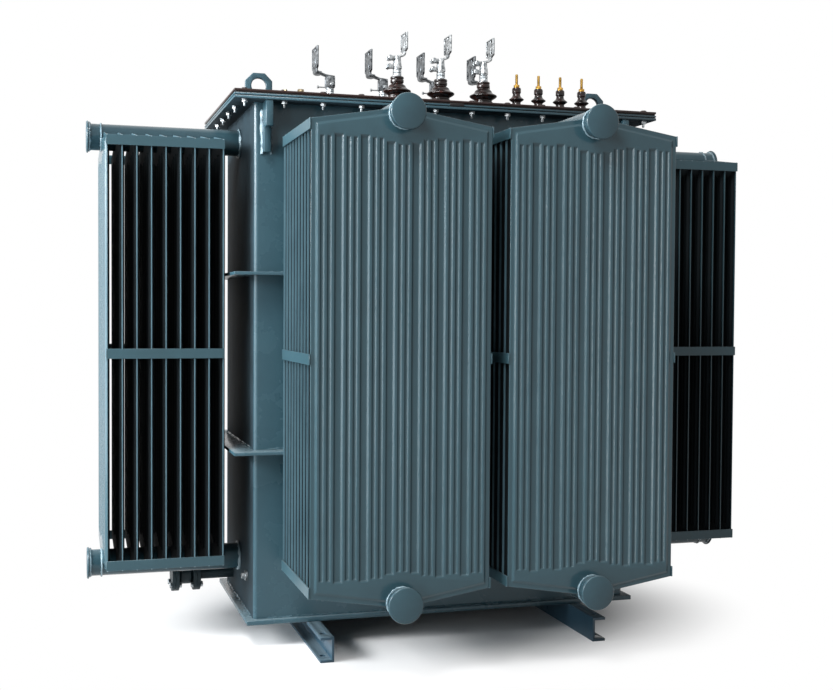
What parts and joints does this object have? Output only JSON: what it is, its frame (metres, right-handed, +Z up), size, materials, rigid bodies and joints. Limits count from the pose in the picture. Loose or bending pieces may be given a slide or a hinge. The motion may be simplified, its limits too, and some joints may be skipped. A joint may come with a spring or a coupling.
{
  "type": "oil-filled furnace transformer",
  "caption": "Oil-filled power transformer: welded tank with bolted cover, fluted panel radiators on header pipes all round, porcelain bushings and skid channels.",
  "frame": {"origin": "middle of the footprint at floor level", "axes": "+Z up, -Y towards the side pictured, +X to its right along the tank"},
  "size_m": [2.22, 1.632, 1.947],
  "materials": {
    "tank_paint": "gloss blue-grey alkyd enamel on welded steel plate",
    "radiator_paint": "gloss blue-grey enamel on pressed sheet panels",
    "header_paint": "gloss blue-grey enamel on steel pipe",
    "edge_bar_paint": "gloss blue-grey enamel on flat bar",
    "skid_paint": "gloss blue-grey enamel on rolled channel",
    "valve_paint": "blue-grey enamel on cast valve",
    "cover_enamel": "dark brown enamel on steel plate",
    "gasket_rubber": "black cork-filled rubber",
    "brown_porcelain": "brown glazed porcelain",
    "tinned_copper": "tinned copper, dull silver",
    "stud_brass": "turned brass",
    "foot_steel": "blue-grey enamel on pressed steel foot"
  },
  "bodies": {
    "root": {"back_left_edge_bars": "edge_bar_paint", "back_left_headers": "header_paint", "back_left_panels": "radiator_paint", "back_lifting_hooks": "tank_paint", "back_right_edge_bars": "edge_bar_paint", "back_right_headers": "header_paint", "back_right_panels": "radiator_paint", "base_plate": "tank_paint", "bushing_feet": "foot_steel", "cover_eyes": "tank_paint", "cover_gasket": "gasket_rubber", "cover_plate": "cover_enamel", "drain_pipe": "valve_paint", "drain_valve": "valve_paint", "front_bushings": "brown_porcelain", "front_left_edge_bars": "edge_bar_paint", "front_left_headers": "header_paint", "front_left_panels": "radiator_paint", "front_lifting_hooks": "tank_paint", "front_right_edge_bars": "edge_bar_paint", "front_right_headers": "header_paint", "front_right_panels": "radiator_paint", "front_terminals": "tinned_copper", "left_end_edge_bars": "edge_bar_paint", "left_end_headers": "header_paint", "left_end_panels": "radiator_paint", "lower_rib": "tank_paint", "rear_bushings": "brown_porcelain", "rear_terminals": "tinned_copper", "right_end_edge_bars": "edge_bar_paint", "right_end_headers": "header_paint", "right_end_panels": "radiator_paint", "rim_flange": "tank_paint", "skid_left": "skid_paint", "skid_right": "skid_paint", "small_bushings": "brown_porcelain", "small_studs": "stud_brass", "tank_body": "tank_paint", "upper_rib": "tank_paint"}
  },
  "joints": []
}
